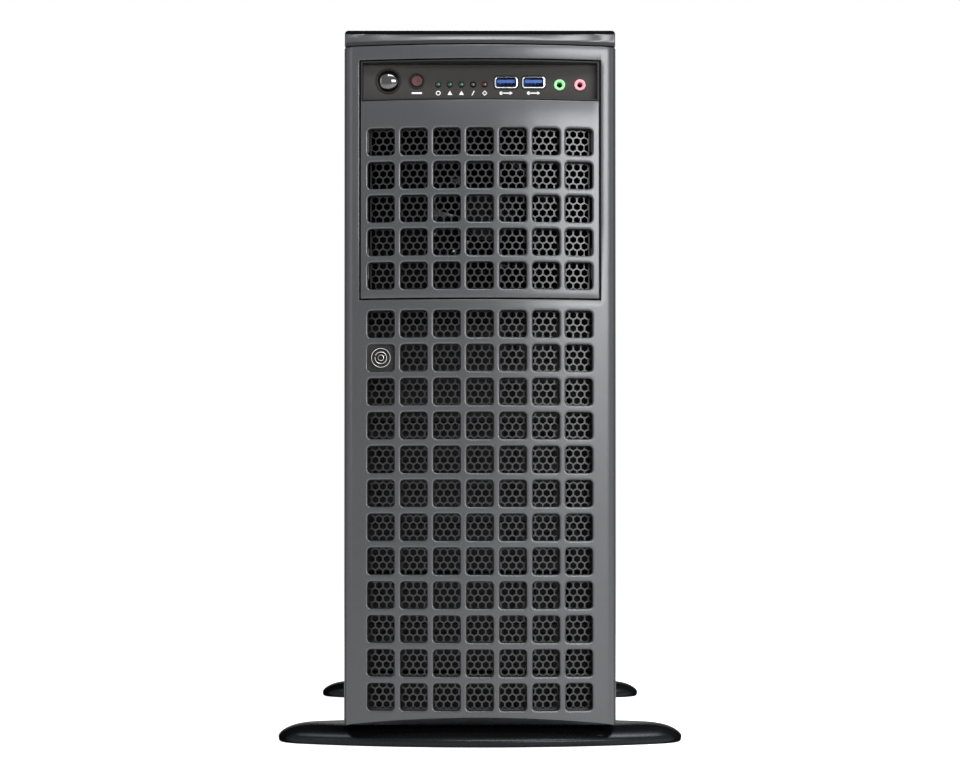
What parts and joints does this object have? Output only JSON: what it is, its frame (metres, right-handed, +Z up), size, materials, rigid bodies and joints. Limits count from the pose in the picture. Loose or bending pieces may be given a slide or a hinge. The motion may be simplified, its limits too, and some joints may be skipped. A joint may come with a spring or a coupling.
{
  "type": "gpu tower server",
  "caption": "Tower server for accelerator cards on two wide cross-feet, with a hinged grille door, key lock, control panel, drive bay, fans and slide-in power supplies.",
  "frame": {"origin": "On the floor under the middle of the whole, feet and supply handles included.", "axes": "+X to the right seen from the front, +Y to the back, +Z up."},
  "size_m": [0.269, 0.673, 0.466],
  "materials": {
    "bezel_finish": "satin graphite paint with a fine metallic grain on moulded plastic",
    "module_plastic": "moulded near-black plastic",
    "panel_plastic": "fine-grained dark plastic",
    "mesh_black": "black powder-coated perforated steel",
    "foot_plastic": "satin black moulded plastic",
    "pad_rubber": "matte rubber",
    "case_paint": "black powder coat with fine texture",
    "inner_steel": "zinc-plated sheet steel",
    "lock_metal": "nickel plate",
    "button_gloss": "glossy black",
    "button_matte": "dull dark red-brown",
    "light_lens": "tinted clear lens",
    "socket_metal": "bright nickel-plated sheet",
    "usb_blue": "blue moulded plastic",
    "jack_green": "lime green moulded plastic",
    "jack_pink": "pink moulded plastic",
    "circuit_green": "solder-mask green laminate",
    "carrier_plastic": "black moulded plastic",
    "drive_metal": "cast and machined aluminium",
    "fan_plastic": "black glass-filled plastic",
    "rotor_plastic": "black moulded plastic",
    "heatsink_metal": "pressed aluminium fins",
    "cooler_shell": "dark moulded card shroud",
    "standoff_brass": "turned brass",
    "supply_metal": "plated sheet steel",
    "latch_plastic": "dark red moulded lever"
  },
  "bodies": {
    "case": {"top_cap": "bezel_finish", "module_frame": "module_plastic", "hinge_post": "module_plastic", "control_panel": "panel_plastic", "front_foot": "foot_plastic", "rear_foot": "foot_plastic", "foot_pads": "pad_rubber", "chassis_tray": "case_paint", "front_frame": "inner_steel", "fan_wall": "inner_steel", "bay_cage": "inner_steel", "drive_cage": "inner_steel", "power_cage": "inner_steel", "rear_panel": "inner_steel", "status_lights": "light_lens", "usb_shells": "socket_metal", "rear_sockets": "socket_metal", "port_shield": "socket_metal", "slot_brackets": "socket_metal", "usb_tongues": "usb_blue", "headphone_jack": "jack_green", "microphone_jack": "jack_pink", "control_board": "circuit_green", "backplane": "circuit_green", "motherboard": "circuit_green", "card_boards": "circuit_green", "power_board": "circuit_green", "memory_modules": "circuit_green", "drive_carriers": "carrier_plastic", "carrier_levers": "carrier_plastic", "card_slots": "carrier_plastic", "hard_drives": "drive_metal", "fan_frames": "fan_plastic", "rear_fan_frames": "fan_plastic", "cpu_heatsinks": "heatsink_metal", "card_coolers": "cooler_shell", "board_standoffs": "standoff_brass"},
    "door": {"bezel_frame": "bezel_finish", "bezel_grille": "bezel_finish", "bezel_mesh": "mesh_black", "lock_barrel": "lock_metal", "hinge_pins": "lock_metal"},
    "lock": {"lock_plug": "lock_metal", "lock_cam": "lock_metal"},
    "power_key": {"power_button": "button_gloss"},
    "reset_key": {"reset_button": "button_matte"},
    "bay_front": {"bay_cover": "bezel_finish", "bay_mesh": "mesh_black"},
    "side_panel": {"side_cover": "case_paint", "cover_thumbscrews": "socket_metal"},
    "supply_1": {"power_supply_1": "supply_metal"},
    "supply_2": {"power_supply_2": "supply_metal"},
    "latch_1": {"supply_latch_1": "latch_plastic"},
    "latch_2": {"supply_latch_2": "latch_plastic"},
    "fan_1": {"fan_rotor_1": "rotor_plastic"},
    "fan_2": {"fan_rotor_2": "rotor_plastic"},
    "fan_3": {"fan_rotor_3": "rotor_plastic"},
    "fan_4": {"fan_rotor_4": "rotor_plastic"},
    "rear_fan_1": {"rear_fan_rotor_1": "rotor_plastic"},
    "rear_fan_2": {"rear_fan_rotor_2": "rotor_plastic"}
  },
  "joints": [
    {"name": "door_hinge", "type": "hinge", "parent": "case", "child": "door", "pos_m": [0.0845, -0.3115, 0.235], "axis": [0, 0, 1], "range_deg": [0, 110]},
    {"name": "lock_turn", "type": "hinge", "parent": "door", "child": "lock", "pos_m": [-0.0642, -0.32, 0.2523], "axis": [0, 1, 0], "range_deg": [0, 90]},
    {"name": "power_press", "type": "slide", "parent": "case", "child": "power_key", "axis": [0, 1, 0], "range_m": [0, 0.002], "stiffness_N_per_m": 400},
    {"name": "reset_press", "type": "slide", "parent": "case", "child": "reset_key", "axis": [0, 1, 0], "range_m": [0, 0.0012], "stiffness_N_per_m": 400},
    {"name": "bay_cover_pull", "type": "slide", "parent": "case", "child": "bay_front", "axis": [0, -1, 0], "range_m": [0, 0.04]},
    {"name": "side_cover_slide", "type": "slide", "parent": "case", "child": "side_panel", "axis": [0, 1, 0], "range_m": [0, 0.02]},
    {"name": "supply_1_slide", "type": "slide", "parent": "case", "child": "supply_1", "axis": [0, 1, 0], "range_m": [0, 0.335]},
    {"name": "latch_1_press", "type": "slide", "parent": "supply_1", "child": "latch_1", "axis": [1, 0, 0], "range_m": [0, 0.003], "stiffness_N_per_m": 400},
    {"name": "supply_2_slide", "type": "slide", "parent": "case", "child": "supply_2", "axis": [0, 1, 0], "range_m": [0, 0.335]},
    {"name": "latch_2_press", "type": "slide", "parent": "supply_2", "child": "latch_2", "axis": [1, 0, 0], "range_m": [0, 0.003], "stiffness_N_per_m": 400},
    {"name": "fan_1_spin", "type": "hinge", "parent": "case", "child": "fan_1", "pos_m": [0.006, -0.072, 0.065], "axis": [0, 1, 0], "continuous": true},
    {"name": "fan_2_spin", "type": "hinge", "parent": "case", "child": "fan_2", "pos_m": [0.006, -0.072, 0.168], "axis": [0, 1, 0], "continuous": true},
    {"name": "fan_3_spin", "type": "hinge", "parent": "case", "child": "fan_3", "pos_m": [0.006, -0.072, 0.271], "axis": [0, 1, 0], "continuous": true},
    {"name": "fan_4_spin", "type": "hinge", "parent": "case", "child": "fan_4", "pos_m": [0.006, -0.072, 0.374], "axis": [0, 1, 0], "continuous": true},
    {"name": "rear_fan_1_spin", "type": "hinge", "parent": "case", "child": "rear_fan_1", "pos_m": [-0.032, 0.298, 0.286], "axis": [0, 1, 0], "continuous": true},
    {"name": "rear_fan_2_spin", "type": "hinge", "parent": "case", "child": "rear_fan_2", "pos_m": [-0.032, 0.298, 0.365], "axis": [0, 1, 0], "continuous": true}
  ]
}
